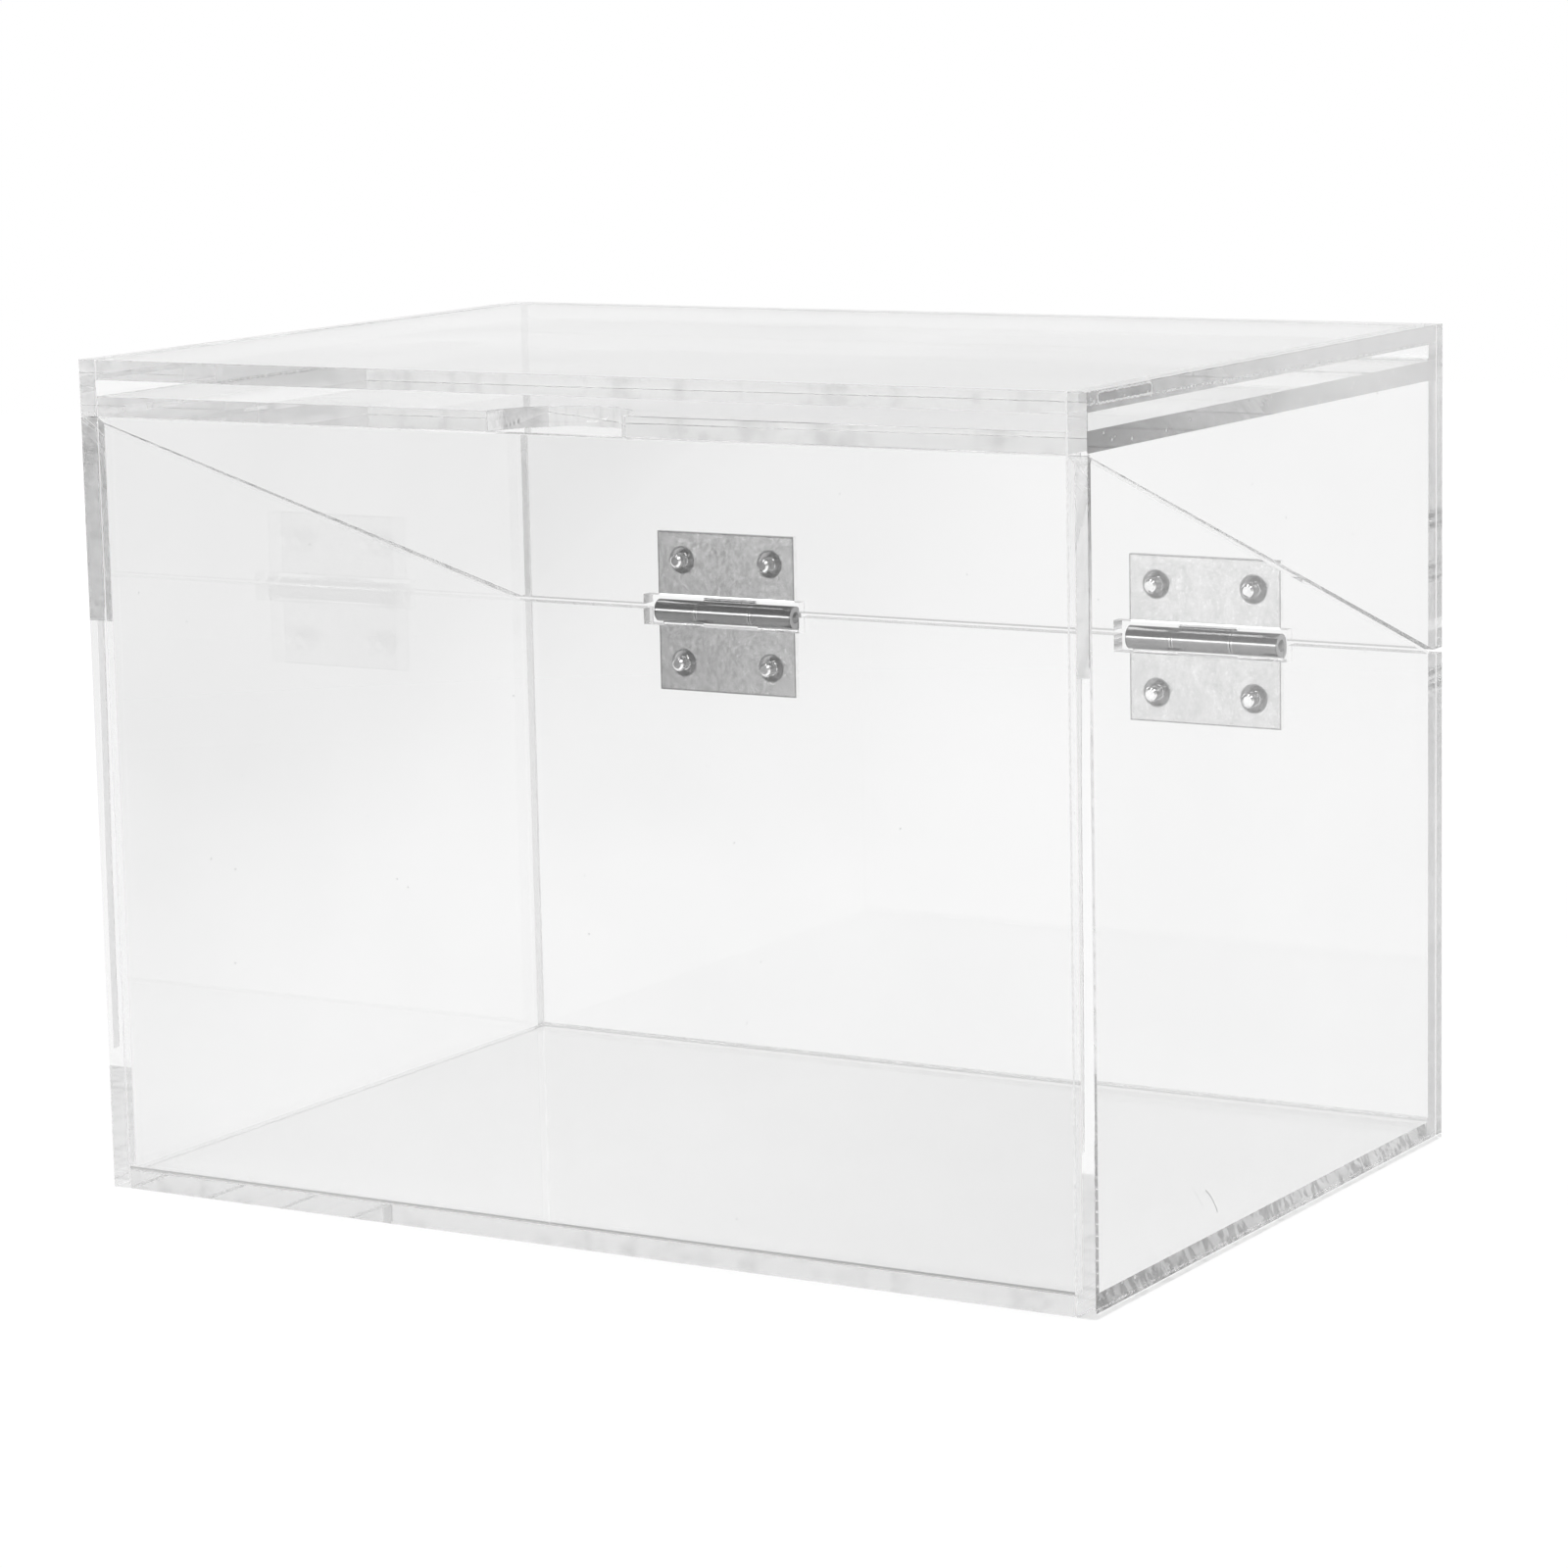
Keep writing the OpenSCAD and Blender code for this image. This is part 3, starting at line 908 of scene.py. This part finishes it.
def painted_paper_light(t, x, y, far, camera):
    """What is added to the glow: painted light under the box, and a little where the camera sees
    it.
    """
    under = t.ramp(x, *UNDER_BLEND, LIFT_LEFT, LIFT_RIGHT)
    under = t.ramp(x, -SIDE_FACE - SIDE_BLEND, -SIDE_FACE + SIDE_BLEND, LIFT_AROUND, under)
    under = t.ramp(y, *FRONT_BLEND, LIFT_FRONT, under)
    under = t.ramp(y, BACK_FACE - BACK_BLEND, BACK_FACE + BACK_BLEND, under, LIFT_AROUND)
    lift = t.times(t.ramp(far, 0.0, 1.0, under, LIFT_FAR), t.less(camera))
    return t.math("ADD", lift, t.times(camera, LIFT_CAMERA))


def floor_material():
    """Pale paper. The camera and the sheets see it white, the sheets with painted light and shade,
    with the shadow kept near the box.
    """
    material, t, point = new_material("floor_paper")
    x, y = t.xyz(point)[:2]
    path = t.add("ShaderNodeLightPath").outputs
    camera = path["Is Camera Ray"]
    grain = t.spread(t.noise(point, 0.8, 2.0), *PAPER_GREY)
    paper = t.bsdf("Diffuse", {"Color": t.grey(grain)})
    radius = t.add("ShaderNodeVectorMath", {0: point}, operation="LENGTH").outputs["Value"]
    far = t.ramp(radius, SHADOW_END, PAPER_WHITE, smooth=True)
    level = t.math("ADD", paper_level(t, x, y, path), painted_paper_light(t, x, y, far, camera))
    glow = t.add("ShaderNodeEmission", {"Color": t.grey(level), "Strength": 1.0}).outputs[0]
    seen = t.math("MAXIMUM", camera, path["Is Transmission Ray"])
    seen = t.math("MAXIMUM", seen, path["Is Glossy Ray"])
    t.finish(t.mix(t.times(seen, t.ramp(far, 0.0, 1.0, GLOW_SHARE, 1.0)), paper, glow))
    return material


def make_floor():
    mesh = bpy.data.meshes.new("floor")
    bm = bmesh.new()
    bmesh.ops.create_circle(bm, cap_ends=True, radius=FLOOR_RADIUS, segments=FLOOR_SIDES)
    bm.to_mesh(mesh)
    bm.free()
    mesh.materials.append(floor_material())
    floor = bpy.data.objects.new("floor", mesh)
    floor.location.z = -FLOOR_DROP * MM
    bpy.context.scene.collection.objects.link(floor)


def make_world():
    """White behind the box, softer above, grey at the front left and dark overhead."""
    world = bpy.data.worlds.new("studio")
    bpy.context.scene.world = world
    t = Tree(world)
    x, y, z = t.xyz(t.add("ShaderNodeTexCoord").outputs["Generated"])
    behind = t.ramp(y, *TO_BEHIND, smooth=True)
    leaning = t.math("SUBTRACT", x, t.times(y, math.tan(DARK_AZIMUTH)))
    front = t.ramp(leaning, *ACROSS_EDGE, ROOM_DARK, ROOM_FRONT, smooth=True)
    level = t.math("ADD", t.times(behind, t.less(front)), front)
    haze = t.ramp(z, *TO_ABOVE, 1.0, ROOM_ABOVE, smooth=True)
    over = t.ramp(z, *TO_OVERHEAD, 1.0, ROOM_OVERHEAD, smooth=True)
    path = t.add("ShaderNodeLightPath").outputs
    level = t.math("MAXIMUM", t.times(level, haze, over), path["Is Camera Ray"])
    background = t.add("ShaderNodeBackground", {"Color": t.grey(level), "Strength": 1.0})
    t.finish(background.outputs[0], "ShaderNodeOutputWorld")


def make_lamp(name, place, aim, size, watts):
    """A rectangular lamp. Its place, aim and size are in metres."""
    data = bpy.data.lights.new(name, "AREA")
    data.shape = "RECTANGLE"
    data.size, data.size_y = size
    data.energy = watts
    lamp = bpy.data.objects.new(name, data)
    lamp.location = place
    lamp.rotation_euler = (Vector(aim) - Vector(place)).to_track_quat("-Z", "Y").to_euler()
    lamp.visible_camera = False
    lamp.visible_transmission = False
    bpy.context.scene.collection.objects.link(lamp)


def make_camera():
    azimuth, elevation = math.radians(CAM_AZIMUTH), math.radians(CAM_ELEVATION)
    back = Vector((
        math.sin(azimuth) * math.cos(elevation),
        -math.cos(azimuth) * math.cos(elevation),
        math.sin(elevation),
    ))
    right = (-back).cross(Vector((0, 0, 1))).normalized()
    up = right.cross(-back)
    centre = Vector(BOX_CENTRE) + right * CAM_AIM_RIGHT + up * CAM_AIM_UP
    c, s = math.cos(math.radians(CAM_ROLL)), math.sin(math.radians(CAM_ROLL))
    rolled_right = right * c + up * s
    rolled_up = up * c - right * s
    data = bpy.data.cameras.new("camera")
    data.sensor_width = CAM_SENSOR
    data.lens = CAM_LENS
    data.clip_start, data.clip_end = CAM_NEAR, CAM_FAR
    camera = bpy.data.objects.new("camera", data)
    turn = Matrix((rolled_right, rolled_up, back)).transposed()
    place = (centre + back * CAM_DISTANCE) * MM
    camera.matrix_world = Matrix.Translation(place) @ turn.to_4x4()
    bpy.context.scene.collection.objects.link(camera)
    bpy.context.scene.camera = camera


def set_scene():
    scene = bpy.context.scene
    scene.view_settings.view_transform = "Standard"
    scene.cycles.max_bounces = CLEAR_BOUNCES
    scene.cycles.diffuse_bounces = SURFACE_BOUNCES
    scene.cycles.glossy_bounces = CLEAR_BOUNCES
    scene.cycles.transmission_bounces = CLEAR_BOUNCES
    scene.cycles.transparent_max_bounces = THROUGH_BOUNCES


make_camera()
# In the order of FACE, EDGE, WELD, GLUE, SAWN, SAWN_LEFT, SEAM_FILL and RAW
sheet_materials = [
    face_material(),
    edge_material(),
    weld_material(),
    glue_material(),
    sawn_material(
        "acrylic_sawn", grey=0.78, share=0.55, arcs=0.3, speckle=0.6, glancing=0.83, passing=0.0,
    ),
    sawn_material(
        "acrylic_sawn_left", grey=0.66, share=0.7, arcs=0.9, speckle=0.1, glancing=0.83,
        passing=0.0,
    ),
    seam_material(),
    sawn_material(
        "acrylic_raw_end", grey=1.0, share=0.98, arcs=0.0, speckle=0.03, glancing=0.95,
        passing=0.95,
    ),
]
for body, nodes in SHEETS.items():
    for node in nodes:
        make_sheet(node, body, sheet_materials)
dress(LEAVES, steel(
    "hinge_leaf_steel", base=0.77, rough=0.22, grain=(1.3, 1.3, 0.9), specks=0.18, part="leaf",
))
# The pins are painted dark, as painted shade in the gaps between the knuckles
dress(PINS, steel(
    "hinge_pin_steel", base=0.2, rough=0.3, grain=(0.2, 4.0, 4.0), specks=0.1, part="pin",
))
dress(SCREWS, steel(
    "screw_steel_with_wear_and_painted_shade", base=0.95, rough=0.1, grain=(1.0, 0.5, 1.0), specks=0.1, part="screws",
))
make_floor()
make_world()
make_lamp("key_lamp", place=(0.5, -0.9, 1.1), aim=(0, 0, 0.05), size=(0.9, 0.9), watts=9)
make_lamp("top_lamp", place=(-0.2, 0.3, 1.4), aim=(0, 0, 0), size=(1.2, 1.2), watts=9)
make_lamp(
    "strip_lamp", place=(-0.42, -0.65, 0.18), aim=(0, 0.06, 0.08), size=(0.5, 0.2), watts=1.2,
)
set_scene()
